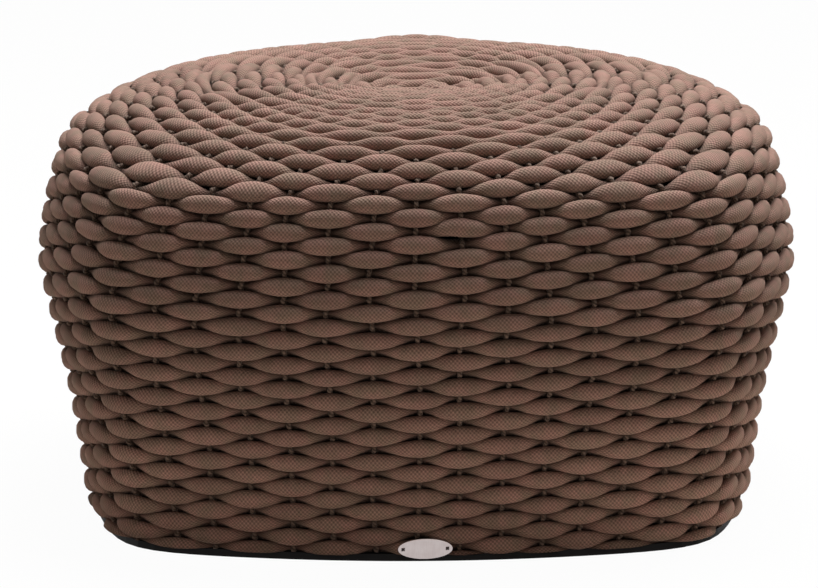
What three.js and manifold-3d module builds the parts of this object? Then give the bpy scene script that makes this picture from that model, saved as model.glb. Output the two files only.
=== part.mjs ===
// Outdoor ottoman footstool: four ropes wound as one barrel of courses over a light frame,
// on a black base board with glides, with a blank oval tag at the foot of its front.
// Millimetres, +Z up, the front faces -Y, the origin lies on the floor under the middle.
import * as THREE from "three";
import { mergeVertices } from "three/addons/utils/BufferGeometryUtils.js";
import Module from "manifold-3d";

const wasm = await Module();
wasm.setup();

// Overall size
const width = 700;
const height = 388;
const fitGap = 0.3;

// Outline of the barrel, from the foot of its side to the middle of its top.
// Each point has a share of the half width, a share of the height, and how square the plan
// is there: none is a circle, and all of it a square with round corners.
const outlineShares = [
  { reach: 0.887, rise: 0.0215, squareness: 0.56 },
  { reach: 0.927, rise: 0.268, squareness: 0.52 },
  { reach: 0.978, rise: 0.474, squareness: 0.45 },
  { reach: 1, rise: 0.577, squareness: 0.39 },
  { reach: 0.987, rise: 0.686, squareness: 0.36 },
  { reach: 0.962, rise: 0.785, squareness: 0.37 },
  { reach: 0.935, rise: 0.855, squareness: 0.36 },
  { reach: 0.889, rise: 0.898, squareness: 0.22 },
  { reach: 0.744, rise: 0.963, squareness: 0.07 },
  { reach: 0.45, rise: 1, squareness: 0.04 },
  { reach: 0, rise: 0.967, squareness: 0.04 },
];
const squarePower = 8;
const outlineSamples = 600;
const probeStep = 2;
const probeAngle = 0.02;

// Rope: all four ropes together lie in this many courses from the foot to the middle
const courses = 54;
const ropeDepth = 15;
const ropeGap = 1;
const ropeSeatGap = 0.7;
const ropeSides = 5;
const stepsPerTurn = 16;
const ropeNames = ["rope_a", "rope_b", "rope_c", "rope_d"];
const ropeStartTurnShare = 0.5;
const ropeEndShare = 1.7;

// Frame of bent aluminium bar
const ribCount = 8;
const ribDiameter = 12;
const ribSides = 6;
const ribSteps = 15;
const ribStub = 6;
const hoopDiameter = 10;
const hoopSides = 6;
const hoopSeatGap = 0.5;
const hoops = [
  { name: "belly_hoop", ribStep: 5 },
  { name: "shoulder_hoop", ribStep: 9 },
  { name: "top_hoop", ribStep: 12 },
];
const hubRadius = 40;
const hubThickness = 12;
const baseRingWidth = 24;
const baseRingHeight = 12;

// Base board, glides and their screws
const boardThickness = 6.5;
const boardSetIn = 8;
const boardSteps = 120;
const screwGrip = 10;
const glideDiameter = 32;
const glideHeight = 2;
const glideChamfer = 0.8;
const screwDiameter = 5;
const screwHeadDiameter = 9;
const screwHeadHeight = 1.2;
const screwRecess = 0.5;
const screwClearance = 0.3;
const roundSegments = 16;
const cutOverrun = 1;

// Oval tag and the crossed stitches that hold it
const tagWidth = 48;
const tagHeight = 19;
const tagThickness = 1.2;
const tagAside = 6.5;
const tagCentreHeight = 16;
const tagHoleDiameter = 3;
const tagHoleSpacing = 39;
const tagSegments = 16;
const stitchThread = 0.9;
const stitchLength = 4.6;
const stitchSegments = 12;

const halfWidth = width / 2;
const glideTop = glideHeight - fitGap;
const boardTop = glideHeight + boardThickness;
const sectionTurn = (2 * Math.PI) / ropeSides;

// The barrel's outer face as a dense row of points, each with its outward normal
function outerOutline() {
  const points = outlineShares.map(
    (share) => new THREE.Vector3(share.reach * halfWidth, share.rise * height, 0),
  );
  const curve = new THREE.CatmullRomCurve3(points, false, "centripetal");
  const rows = [];
  for (let i = 0; i <= outlineSamples; i++) {
    const along = i / outlineSamples;
    const place = along * (outlineShares.length - 1);
    const before = Math.min(Math.floor(place), outlineShares.length - 2);
    const squareness = THREE.MathUtils.lerp(
      outlineShares[before].squareness,
      outlineShares[before + 1].squareness,
      place - before,
    );
    const point = curve.getPoint(along);
    const tangent = curve.getTangent(along);
    const out = { outReach: tangent.y, outRise: -tangent.x };
    rows.push({ along, reach: point.x, rise: point.y, ...out, squareness });
  }
  return rows;
}

// The same outline moved inwards, with the length run along it at each point
function insetOutline(inset) {
  const rows = outerOutline().map((row) => ({
    ...row,
    reach: row.reach - inset * row.outReach,
    rise: row.rise - inset * row.outRise,
    run: 0,
  }));
  for (let i = 1; i < rows.length; i++) {
    const step = Math.hypot(rows[i].reach - rows[i - 1].reach, rows[i].rise - rows[i - 1].rise);
    rows[i].run = rows[i - 1].run + step;
  }
  return rows;
}

// One place on an outline, by the value of one of its keys
function placeOn(rows, key, value) {
  const rising = rows[rows.length - 1][key] > rows[0][key];
  let after = rows.findIndex((row) => (rising ? row[key] >= value : row[key] <= value));
  after = after < 0 ? rows.length - 1 : Math.max(after, 1);
  const low = rows[after - 1];
  const high = rows[after];
  const blend = THREE.MathUtils.clamp((value - low[key]) / (high[key] - low[key]), 0, 1);
  const place = {};
  for (const name of Object.keys(low)) {
    place[name] = THREE.MathUtils.lerp(low[name], high[name], blend);
  }
  return place;
}

// How far out the plan lies in one direction: from a circle's one towards a square's corners
function planReach(angle, squareness) {
  const along = Math.abs(Math.cos(angle)) ** squarePower;
  const aside = Math.abs(Math.sin(angle)) ** squarePower;
  return THREE.MathUtils.lerp(1, (along + aside) ** (-1 / squarePower), squareness);
}

// A point of the barrel at one place on an outline and one angle of its plan
function pointAt(place, angle) {
  const reach = place.reach * planReach(angle, place.squareness);
  return new THREE.Vector3(reach * Math.cos(angle), reach * Math.sin(angle), place.rise);
}

// The outward direction there, square to the surface both along the outline and around it
function outwardAt(rows, place, angle) {
  const above = pointAt(placeOn(rows, "run", place.run + probeStep), angle);
  const below = pointAt(placeOn(rows, "run", place.run - probeStep), angle);
  const ahead = pointAt(place, angle + probeAngle);
  const behind = pointAt(place, angle - probeAngle);
  return ahead.sub(behind).cross(above.sub(below)).normalize();
}

// A closed body through rings of points: open rows get a face at each end, closed ones join up
function loft(rings, closed) {
  const sides = rings[0].length;
  const positions = rings.flat().flatMap((point) => point.toArray());
  const faces = [];
  const spans = closed ? rings.length : rings.length - 1;
  for (let i = 0; i < spans; i++) {
    const here = i * sides;
    const next = ((i + 1) % rings.length) * sides;
    for (let j = 0; j < sides; j++) {
      const k = (j + 1) % sides;
      faces.push(here + j, here + k, next + j);
      faces.push(here + k, next + k, next + j);
    }
  }
  const last = (rings.length - 1) * sides;
  for (let j = 1; !closed && j < sides - 1; j++) {
    faces.push(0, j + 1, j);
    faces.push(last, last + j, last + j + 1);
  }
  const geometry = new THREE.BufferGeometry();
  geometry.setAttribute("position", new THREE.Float32BufferAttribute(positions, 3));
  geometry.setIndex(faces);
  geometry.computeVertexNormals();
  return geometry;
}

// A bar of one section along a row of places, each with a centre and an outward direction.
// The section's points are pairs: how far out, and how far across.
function bar(places, section, closed) {
  const rings = places.map((place, i) => {
    const count = places.length;
    const before = closed ? places[(i + count - 1) % count] : places[Math.max(i - 1, 0)];
    const after = closed ? places[(i + 1) % count] : places[Math.min(i + 1, count - 1)];
    const ahead = after.centre.clone().sub(before.centre).normalize();
    const out = place.out.clone().addScaledVector(ahead, -place.out.dot(ahead)).normalize();
    const across = ahead.clone().cross(out);
    return section.map(([outStep, acrossStep]) =>
      place.centre.clone().addScaledVector(out, outStep).addScaledVector(across, acrossStep),
    );
  });
  return loft(rings, closed);
}

// Points of an oval section whose first corner faces outwards
function ovalSection(sides, halfDepth, halfHeight) {
  const section = [];
  for (let i = 0; i < sides; i++) {
    const angle = (i * 2 * Math.PI) / sides;
    section.push([halfDepth * Math.cos(angle), halfHeight * Math.sin(angle)]);
  }
  return section;
}

// Corners of a box section, deep along the outward direction
function boxSection(depth, tall) {
  return [
    [depth / 2, -tall / 2],
    [depth / 2, tall / 2],
    [-depth / 2, tall / 2],
    [-depth / 2, -tall / 2],
  ];
}

// Rope courses: the outline of their centres runs up from the board and ends short of the
// middle, where the four ends need room, and what it measures gives the pitch
const ropeOutline = insetOutline(ropeDepth / 2);
const middleRun = placeOn(ropeOutline, "reach", 0).run;

function coursePitch() {
  let pitch = middleRun / courses;
  for (let i = 0; i < courses; i++) {
    const footRun = placeOn(ropeOutline, "rise", boardTop + pitch / 2).run;
    pitch = (middleRun - footRun) / (courses + ropeEndShare);
  }
  return pitch;
}

const pitch = coursePitch();
const ropeHalfHeight = (pitch - ropeGap) / 2 / Math.sin(sectionTurn);
const footRun = placeOn(ropeOutline, "rise", boardTop + pitch / 2).run;

// Centres and outward directions of one rope, which climbs as many pitches in each turn as
// there are ropes
function ropePlaces(index) {
  const places = [];
  const steps = (courses / ropeNames.length) * stepsPerTurn;
  for (let i = 0; i <= steps; i++) {
    const turns = i / stepsPerTurn;
    const place = placeOn(ropeOutline, "run", footRun + ropeNames.length * pitch * turns);
    const angle = 2 * Math.PI * (turns + ropeStartTurnShare + index / ropeNames.length);
    places.push({ centre: pointAt(place, angle), out: outwardAt(ropeOutline, place, angle) });
  }
  return places;
}

// The corners of each ring of a rope
function ringsOf(geometry) {
  const position = geometry.getAttribute("position");
  const rings = [];
  for (let i = 0; i < position.count; i += ropeSides) {
    const ring = [];
    for (let j = 0; j < ropeSides; j++) {
      ring.push(new THREE.Vector3().fromBufferAttribute(position, i + j));
    }
    rings.push(ring);
  }
  return rings;
}

// The least gap between a course and the one above it, which is the next rope back, measured
// between the corners of their sections
function leastRopeGap(geometries) {
  const ropes = geometries.map(ringsOf);
  const ahead = stepsPerTurn / ropes.length;
  let least = Infinity;
  ropes.forEach((rings, index) => {
    const above = ropes[(index + ropes.length - 1) % ropes.length];
    for (let i = 0; i + ahead < rings.length; i++) {
      for (const low of rings[i]) {
        for (const high of above[i + ahead]) {
          least = Math.min(least, low.distanceTo(high));
        }
      }
    }
  });
  return least;
}

// Frame: the ribs lie just inside the rope, the hoops just inside the ribs
const ropeInnerDepth = (ropeDepth / 2) * (1 + Math.cos(sectionTurn / 2));
const ribInset = ropeInnerDepth + ropeSeatGap + ribDiameter / 2;
const ribOutline = insetOutline(ribInset);
const hoopInset = ribInset + ribDiameter / 2 + hoopSeatGap + hoopDiameter / 2;
const hoopOutline = insetOutline(hoopInset);
const baseRingBottom = boardTop + fitGap;
const baseRingTop = baseRingBottom + baseRingHeight;

// The place of a rib's centre at one of its steps
function ribPlace(step) {
  const start = placeOn(ribOutline, "rise", baseRingTop + fitGap);
  const end = placeOn(ribOutline, "reach", hubRadius + fitGap);
  return placeOn(ribOutline, "run", THREE.MathUtils.lerp(start.run, end.run, step / ribSteps));
}

function rib(index) {
  const angle = (index * 2 * Math.PI) / ribCount;
  const places = [];
  for (let step = 0; step <= ribSteps; step++) {
    const place = ribPlace(step);
    places.push({ centre: pointAt(place, angle), out: outwardAt(ribOutline, place, angle) });
  }
  const foot = places[0];
  const stubTop = foot.centre.clone().setZ(foot.centre.z + ribStub);
  places.splice(1, 0, { centre: stubTop, out: foot.out });
  return bar(places, ovalSection(ribSides, ribDiameter / 2, ribDiameter / 2), false);
}

// A closed ring at one place of an outline; a level one keeps its section upright
function ringOf(rows, place, section, level) {
  const places = [];
  for (let i = 0; i < stepsPerTurn; i++) {
    const angle = (i * 2 * Math.PI) / stepsPerTurn;
    const out = outwardAt(rows, place, angle);
    places.push({ centre: pointAt(place, angle), out: level ? out.setZ(0).normalize() : out });
  }
  return bar(places, section, true);
}

function hoop(ribStep) {
  const place = placeOn(hoopOutline, "along", ribPlace(ribStep).along);
  const section = ovalSection(hoopSides, hoopDiameter / 2, hoopDiameter / 2);
  return ringOf(hoopOutline, place, section, false);
}

function hub() {
  const centre = placeOn(ribOutline, "reach", 0).rise;
  const geometry = new THREE.CylinderGeometry(
    hubRadius / Math.cos(Math.PI / roundSegments),
    hubRadius / Math.cos(Math.PI / roundSegments),
    hubThickness,
    roundSegments,
    1,
    false,
    Math.PI / roundSegments,
  );
  geometry.rotateX(Math.PI / 2);
  geometry.translate(0, 0, centre);
  return geometry;
}

// Closed geometry to a solid that can be cut, and back again
function solidOf(geometry) {
  const bare = geometry.clone();
  bare.deleteAttribute("normal");
  bare.deleteAttribute("uv");
  const merged = mergeVertices(bare);
  return new wasm.Manifold(
    new wasm.Mesh({
      numProp: 3,
      vertProperties: merged.getAttribute("position").array,
      triVerts: new Uint32Array(merged.getIndex().array),
    }),
  );
}

function geometryOf(solid) {
  const mesh = solid.getMesh();
  const geometry = new THREE.BufferGeometry();
  geometry.setAttribute("position", new THREE.BufferAttribute(mesh.vertProperties, mesh.numProp));
  geometry.setIndex(new THREE.BufferAttribute(mesh.triVerts, 1));
  geometry.computeVertexNormals();
  return geometry;
}

// An upright cylinder from one height to another
function upright(diameter, bottom, top, place) {
  const geometry = new THREE.CylinderGeometry(
    diameter / 2,
    diameter / 2,
    top - bottom,
    roundSegments,
  );
  geometry.rotateX(Math.PI / 2);
  geometry.translate(place.x, place.y, (bottom + top) / 2);
  return geometry;
}

// A turned shape from a profile of radius and height pairs that starts and ends on the axis
function turned(profile) {
  const points = profile.map(([radius, rise]) => new THREE.Vector2(radius, rise));
  const geometry = new THREE.LatheGeometry(points, roundSegments);
  geometry.rotateX(Math.PI / 2);
  return geometry;
}

// Base: the ring, the board and the glides share four screws, one at each corner of the plan
const baseRingInset = ropeInnerDepth + ropeSeatGap + baseRingWidth / 2;
const baseRingRise = baseRingBottom + baseRingHeight / 2;
const baseRingOutline = insetOutline(baseRingInset);
const baseRingPlace = placeOn(baseRingOutline, "rise", baseRingRise);
const boardReach = placeOn(outerOutline(), "rise", boardTop).reach - boardSetIn;
const screwHoleDiameter = screwDiameter + 2 * screwClearance;
const cornerNames = ["right_back", "left_back", "left_front", "right_front"];

function cornerPlace(index) {
  const angle = ((index + 0.5) * Math.PI) / 2;
  return pointAt({ ...baseRingPlace, rise: 0 }, angle);
}

function screwHoles() {
  const holes = cornerNames.map((name, index) =>
    solidOf(upright(screwHoleDiameter, -cutOverrun, height, cornerPlace(index))),
  );
  return wasm.Manifold.union(holes);
}

function baseRing() {
  const section = boxSection(baseRingWidth, baseRingHeight);
  const ring = ringOf(baseRingOutline, baseRingPlace, section, true);
  return geometryOf(solidOf(ring).subtract(screwHoles()));
}

function baseBoard() {
  const rings = [glideHeight, boardTop].map((rise) => {
    const ring = [];
    for (let i = 0; i < boardSteps; i++) {
      const angle = (i * 2 * Math.PI) / boardSteps;
      ring.push(pointAt({ ...baseRingPlace, reach: boardReach, rise }, angle));
    }
    return ring;
  });
  return geometryOf(solidOf(loft(rings, false)).subtract(screwHoles()));
}

function glide(index) {
  const radius = glideDiameter / 2;
  const body = solidOf(
    turned([
      [0, 0],
      [radius - glideChamfer, 0],
      [radius, glideChamfer],
      [radius, glideTop],
      [0, glideTop],
    ]),
  );
  const headRadius = screwHeadDiameter / 2 + screwClearance;
  const sink = solidOf(
    turned([
      [0, -cutOverrun],
      [headRadius, -cutOverrun],
      [headRadius, screwRecess],
      [screwHoleDiameter / 2, screwRecess + screwHeadHeight],
      [screwHoleDiameter / 2, glideTop + cutOverrun],
      [0, glideTop + cutOverrun],
    ]),
  );
  const place = cornerPlace(index);
  return geometryOf(body.subtract(sink)).translate(place.x, place.y, 0);
}

function screw(index) {
  const place = cornerPlace(index);
  const geometry = turned([
    [0, screwRecess],
    [screwHeadDiameter / 2, screwRecess],
    [screwDiameter / 2, screwRecess + screwHeadHeight],
    [screwDiameter / 2, baseRingBottom + screwGrip],
    [0, baseRingBottom + screwGrip],
  ]);
  return geometry.translate(place.x, place.y, 0);
}

// Tag: made flat in the X and Y plane with its back at zero, then leant on the front
function tagPlate() {
  const outline = new THREE.Shape();
  outline.absellipse(0, 0, tagWidth / 2, tagHeight / 2, 0, 2 * Math.PI);
  const plate = new THREE.ExtrudeGeometry(outline, {
    depth: tagThickness,
    bevelEnabled: false,
    curveSegments: tagSegments,
  });
  const holes = [-1, 1].map((side) =>
    solidOf(
      new THREE.CylinderGeometry(
        tagHoleDiameter / 2,
        tagHoleDiameter / 2,
        tagThickness + 2 * cutOverrun,
        stitchSegments,
      )
        .rotateX(Math.PI / 2)
        .translate((side * tagHoleSpacing) / 2, 0, tagThickness / 2),
    ),
  );
  return geometryOf(solidOf(plate).subtract(wasm.Manifold.union(holes)));
}

// A stitch: its core fills the hole, and two crossed threads lie on the plate's face
function tagStitch(side) {
  const coreTop = tagThickness + fitGap + stitchThread;
  const core = new THREE.CylinderGeometry(
    tagHoleDiameter / 2 - fitGap,
    tagHoleDiameter / 2 - fitGap,
    coreTop,
    stitchSegments,
  )
    .rotateX(Math.PI / 2)
    .translate(0, 0, coreTop / 2);
  const threads = [-1, 1].map((way) =>
    solidOf(
      new THREE.BoxGeometry(stitchLength, stitchThread, stitchThread)
        .rotateZ((way * Math.PI) / 4)
        .translate(0, 0, coreTop - stitchThread / 2),
    ),
  );
  const stitch = wasm.Manifold.union([solidOf(core), ...threads]);
  return geometryOf(stitch).translate((side * tagHoleSpacing) / 2, 0, 0);
}

// Group that carries the tag: its back lies a fit gap off the rope's outermost corners
function tagGroup() {
  const seat = placeOn(outerOutline(), "rise", tagCentreHeight);
  const lean = Math.atan2(-seat.outRise, seat.outReach);
  const group = new THREE.Group();
  group.position.set(
    tagAside,
    -seat.reach - fitGap * seat.outReach,
    tagCentreHeight + fitGap * seat.outRise,
  );
  group.rotation.x = Math.PI / 2 + lean;
  return group;
}

// Materials, with colours from the photograph
function material(color, roughness, metalness) {
  return new THREE.MeshStandardMaterial({ color, roughness, metalness });
}

const ropeMaterial = material(0x6b5148, 0.85, 0);
const frameMaterial = material(0x3a3a3c, 0.5, 0.6);
const boardMaterial = material(0x141314, 0.6, 0);
const glideMaterial = material(0x1c1c1d, 0.5, 0);
const screwMaterial = material(0xb9bbbd, 0.35, 1);
const tagMaterial = material(0xbdb2b1, 0.35, 1);
const stitchMaterial = material(0x231c1a, 0.9, 0);

function addMesh(parent, name, geometry, meshMaterial) {
  const mesh = new THREE.Mesh(geometry, meshMaterial);
  mesh.name = name;
  parent.add(mesh);
}

const footstool = new THREE.Group();
const ropeSection = ovalSection(ropeSides, ropeDepth / 2, ropeHalfHeight);
const ropes = ropeNames.map((name, index) => bar(ropePlaces(index), ropeSection, false));
ropes.forEach((rope, index) => addMesh(footstool, ropeNames[index], rope, ropeMaterial));
console.log("course pitch", pitch.toFixed(3), "mm");
console.log("least gap between courses", leastRopeGap(ropes).toFixed(2), "mm");

for (let index = 0; index < ribCount; index++) {
  addMesh(footstool, `rib_${index + 1}`, rib(index), frameMaterial);
}
for (const { name, ribStep } of hoops) {
  addMesh(footstool, name, hoop(ribStep), frameMaterial);
}
addMesh(footstool, "hub", hub(), frameMaterial);
addMesh(footstool, "base_ring", baseRing(), frameMaterial);
addMesh(footstool, "base_board", baseBoard(), boardMaterial);
cornerNames.forEach((name, index) => {
  addMesh(footstool, `glide_${name}`, glide(index), glideMaterial);
  addMesh(footstool, `screw_${name}`, screw(index), screwMaterial);
});

const tag = tagGroup();
footstool.add(tag);
addMesh(tag, "tag", tagPlate(), tagMaterial);
addMesh(tag, "tag_stitch_left", tagStitch(-1), stitchMaterial);
addMesh(tag, "tag_stitch_right", tagStitch(1), stitchMaterial);

export default footstool;
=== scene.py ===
"""Outdoor ottoman footstool: four braided cords woven over upright twisted cords as one barrel."""
import math

import bpy
import numpy as np
from mathutils import Matrix, Vector


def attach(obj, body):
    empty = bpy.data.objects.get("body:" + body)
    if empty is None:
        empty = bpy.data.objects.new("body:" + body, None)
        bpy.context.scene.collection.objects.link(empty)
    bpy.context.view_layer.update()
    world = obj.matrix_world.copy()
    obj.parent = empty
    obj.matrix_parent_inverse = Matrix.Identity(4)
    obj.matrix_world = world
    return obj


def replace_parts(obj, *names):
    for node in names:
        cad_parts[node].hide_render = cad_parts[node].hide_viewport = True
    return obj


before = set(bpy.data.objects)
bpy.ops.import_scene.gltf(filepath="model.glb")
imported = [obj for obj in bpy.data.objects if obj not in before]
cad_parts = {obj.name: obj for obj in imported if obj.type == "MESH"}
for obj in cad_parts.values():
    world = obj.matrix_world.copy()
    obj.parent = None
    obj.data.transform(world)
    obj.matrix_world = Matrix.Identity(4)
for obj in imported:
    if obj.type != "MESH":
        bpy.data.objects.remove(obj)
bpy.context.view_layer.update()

# Shapes are worked out in millimetres and become metres when a mesh is made
MM = 0.001
SEED = 27

# Outline of the barrel, the same as in the solids: shares of the half width and of the
# height, and how square the plan is, from the foot of the side to the middle of the top
HALF_WIDTH = 350
HEIGHT = 388
OUTLINE_SHARES = (
    (0.887, 0.0215, 0.56),
    (0.927, 0.268, 0.52),
    (0.978, 0.474, 0.45),
    (1, 0.577, 0.39),
    (0.987, 0.686, 0.36),
    (0.962, 0.785, 0.37),
    (0.935, 0.855, 0.36),
    (0.889, 0.898, 0.22),
    (0.744, 0.963, 0.07),
    (0.45, 1, 0.04),
    (0, 0.967, 0.04),
)
OUTLINE_STEPS = 600
SIDE_STEPS = OUTLINE_STEPS // 2
OUTLINE_TAIL = 40

# The plan goes from a circle towards a rounded square, and a table of it has even steps. The
# slope of the face is probed a little way to both sides of each point
SQUARE_POWER = 8
SQUAREST_SHARE = 0.6
PLAN_ROWS = 13
PLAN_STEPS = 1440
PLAN_FINENESS = 4
PROBE_RUN = 1.5
PROBE_TURN_SHARE = 0.0015

# Solid pieces behind the weave: the board's and the ring's tops, and the room for the frame
BOARD_TOP = 8.5
RING_TOP = 20.8
FIT_GAP = 0.3
FRAME_ROOM = 13.8
RIB_COUNT = 8
RIB_HALF_WIDTH = 8.5
HUB_REACH = 46

# Courses of the thick cords. Their depths are measured inwards from the barrel's outline, and
# the hidden back of a cord is never less high than its share of a course
CORD_LETTERS = "abcd"
CORD_COUNT = len(CORD_LETTERS)
FIRST_CORD_TURN_SHARE = 0.5
COURSES = 54
MIDDLE_ROOM_COURSES = 1.7
SPACING_ROUNDS = 20
CORD_INSET = 7.5
CORD_OVER_DEPTH = 6.6
CORD_UNDER_DEPTH = 13
CORD_OVER_THICKNESS = 13.2
CORD_UNDER_THICKNESS = 5.6
CORD_BACK_SHARE = 1.1
CORD_SIDES = 14
CORD_STEP = 3
ROUTE_STEPS = 60000
CORD_FIRST_TURN = -0.25
CORD_LAST_TURN = 13.88
CORD_TUCK_LENGTH = 20
CORD_TUCK_DEPTH = 8
STRETCH_NAMES = ("foot", "belly", "shoulder", "rim", "top")
STRETCH_RUN_SHARES = (0.15, 0.31, 0.46, 0.64)

# Stitches: their heights are shares of the courses' spacing, for the swollen middle and the
# pinched end. The shoulder eases them, and sitting has pressed the front and back of the top
STITCH_HEIGHT_SHARE = 1.42
CORD_LEAST_SHARE = 0.16
STITCH_POWER = 1.5
SHOULDER_STITCH_SHARE = 0.08
SHOULDER_EASE_SHARE = 0.1
SHOULDER_EASE_LENGTH = 60
SHOULDER_RUN_SHARE = 0.55
SHOULDER_START_SHARE = 0.53
SHOULDER_END_SHARE = 0.62
PRESSED_HEIGHT_SHARE = 1.1
PRESSED_LEAST_SHARE = 0.88
PRESSED_RELIEF_SHARE = 0.3
SIDE_PINCH_POWER = 1.8
TOP_PINCH_POWER = 1.6

# Upright cords: how many there are where the courses are at least this far from the middle.
# They stand closer along the front and the back than round both sides, two swings a turn, and
# the stitches are eased where their number changes
WARP_ZONES = ((48, 205), (28, 100), (14, 48), (8, 0))
WARP_SWINGS = 2
WARP_SPREAD_SHARE = 0.25
ZONE_EASE_SHARE = 0.65
ZONE_FADE_SHARE = 0.012
WARP_PLIES = 2
WARP_RADIUS = 1.9
WARP_LOBE = 0.7
WARP_SIDES = 8
WARP_TWIST_LENGTH = 8.5

# An upright cord is near the face where it ties a course down and far behind it elsewhere.
# It has a ring at each of these distances below and above its ties
WARP_FRONT_DEPTH = 7.4
WARP_SHOULDER_DEPTH = 6
WARP_BACK_DEPTH = 16
WARP_PULL_LENGTH = 90
WARP_TIE_SPREAD = 4.3
WARP_OFFSETS = (-11, -6.6, -4.6, -3.3, -2.2, -1.1, 0, 1.1, 2.2, 3.3, 4.6, 6.6)

# The long middle of the top, where the cords end side by side
MIDDLE_STRETCH = 24
MIDDLE_FADE = 130
MIDDLE_ROUNDING = 16

# Unevenness of hand weaving, most of all where the side turns into the top. The grids have
# as many random heights round the barrel and up its outline
WANDER_GRID = (65, 14)
WAVE_GRID = (31, 24)
WARP_WANDER_SHARE = 0.075
SHOULDER_WANDER_SHARE = 0.06
WANDER_LENGTH = 45
COURSE_WAVE = 0.75
SHOULDER_WAVE = 1.1
WAVE_LENGTH = 35
FOOT_CALM_LENGTH = 30
STITCH_UNEVENNESS_SHARE = 0.05
SPARE_STITCHES = 3

# The place near the front edge where two courses part
PARTING_TURN_SHARE = 0.7655
PARTING_WIDTH_SHARE = 0.007
PARTING_HEIGHT = 329
PARTING_SIZE = 3.4
PARTING_REACH = 15

# Crests of the rim at the middle of the back and of the front, as shares of a turn
CREST_TURN_SHARES = (0.25, 0.75)
CREST_WIDTH_SHARES = (0.03, 0.09)
CREST_HEIGHTS = (6, 5)
CREST_RUN_SHARE = 0.62
CREST_REACH = 42

# Tag
TAG_ASIDE = 6.5
TAG_CENTRE_HEIGHT = 16
TAG_WIDTH = 48
TAG_HEIGHT = 19
TAG_THICKNESS = 1.2
TAG_EDGE = 0.35
TAG_EDGE_STEPS = 2
TAG_SEGMENTS = 96
TAG_HOLE_SPACING = 39
TAG_HOLE_DIAMETER = 2.6
TAG_HOLE_SEGMENTS = 24
TAG_TILT = math.radians(1.5)

# Threads that cross in each of the tag's holes
THREAD_DIAMETER = 0.85
THREAD_REACH = 3.9
THREAD_RISE = 0.75
THREAD_ARCH_POWER = 4
THREAD_SINK = 0.35
THREAD_CROSSING_RISE = 0.5
THREAD_SLANT = math.radians(45)
THREAD_STEPS = 13

# Camera, found by fitting the outline to the photograph. Its roll is in radians
IMAGE_WIDTH = 818
FOCAL_PIXELS = 5194
SENSOR_WIDTH = 36
CAMERA_ELEVATION = math.radians(12)
CAMERA_DISTANCE = 4834
CAMERA_TARGET_HEIGHT = 181
CAMERA_ROLL = -0.0055
CAMERA_SHIFT_PIXELS = (-7.5, -3)
CAMERA_SIGHT = 100000


def smooth(share):
    """A share from nought to one that leaves and arrives softly."""
    return share * share * (3 - 2 * share)


def bell(distance, width):
    """One at no distance, falling off over a width to both sides."""
    return np.exp(-((distance / width) ** 2))


def blend(start, end, share):
    """From start towards end by a share."""
    return start + (end - start) * share


def unit(vectors):
    """The same directions with a length of one."""
    return vectors / np.linalg.norm(vectors, axis=1)[:, None]


def length_along(points):
    """How far along a path each of its points lies."""
    return np.concatenate([[0], np.cumsum(np.linalg.norm(np.diff(points, axis=0), axis=1))])


def curve_through(corners):
    """A soft curve through the outline's corners: its place between them, points and slopes."""
    before_first = 2 * corners[0] - corners[1]
    after_last = 2 * corners[-1] - corners[-2]
    knots = np.vstack([before_first, corners, after_last])
    gaps = np.sqrt(np.linalg.norm(np.diff(knots, axis=0), axis=1))
    along = np.linspace(0, len(corners) - 1, OUTLINE_STEPS + 1)
    span = np.minimum(along.astype(int), len(corners) - 2)
    part = (along - span)[:, None]
    before, start, end, after = (knots[span + i] for i in range(4))
    gap_in, gap, gap_out = (gaps[span + i][:, None] for i in range(3))
    leaving = (start - before) / gap_in - (end - before) / (gap_in + gap) + (end - start) / gap
    arriving = (end - start) / gap - (after - start) / (gap + gap_out) + (after - end) / gap_out
    leaving = leaving * gap
    arriving = arriving * gap
    square = 3 * (end - start) - 2 * leaving - arriving
    cube = 2 * (start - end) + leaving + arriving
    points = start + part * (leaving + part * (square + part * cube))
    slopes = leaving + part * (2 * square + 3 * part * cube)
    return along, points, unit(slopes)


def barrel_outline(inset):
    """Run, reach, rise and squareness along the outline, moved inwards by inset."""
    shares = np.array(OUTLINE_SHARES, dtype=float)
    along, points, slopes = curve_through(shares[:, :2] * (HALF_WIDTH, HEIGHT))
    points[:, 0] -= inset * slopes[:, 1]
    points[:, 1] += inset * slopes[:, 0]
    squareness = np.interp(along, np.arange(len(shares)), shares[:, 2])
    tail = points[0] - OUTLINE_TAIL * slopes[0]
    return {
        "run": np.concatenate([[-OUTLINE_TAIL], length_along(points)]),
        "reach": np.concatenate([[tail[0]], points[:, 0]]),
        "rise": np.concatenate([[tail[1]], points[:, 1]]),
        "squareness": np.concatenate([[squareness[0]], squareness]),
        "lean": math.atan2(slopes[0, 0], slopes[0, 1]),
    }


def plan_table():
    """Points of the unit plan at even steps of its own length, a row for each squareness."""
    angle = np.linspace(0, 2 * math.pi, PLAN_FINENESS * PLAN_STEPS + 1)
    even = np.linspace(0, 1, PLAN_STEPS + 1)
    sides = abs(np.cos(angle)) ** SQUARE_POWER + abs(np.sin(angle)) ** SQUARE_POWER
    square = sides ** (-1 / SQUARE_POWER)
    rows = []
    for squareness in np.linspace(0, SQUAREST_SHARE, PLAN_ROWS):
        reach = 1 - squareness + squareness * square
        across = reach * np.cos(angle)
        deep = reach * np.sin(angle)
        length = np.concatenate([[0], np.cumsum(np.hypot(np.diff(across), np.diff(deep)))])
        share = length / length[-1]
        rows.append(np.stack([np.interp(even, share, across), np.interp(even, share, deep)], axis=1))
    return np.array(rows)


# The weave's own outline runs through the middle of its thickness, up to the middle of the top
OUTLINE = barrel_outline(CORD_INSET)
OUTER_OUTLINE = barrel_outline(0)
TOP_RUN = OUTLINE["run"][-1]
PLAN = plan_table()


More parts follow.
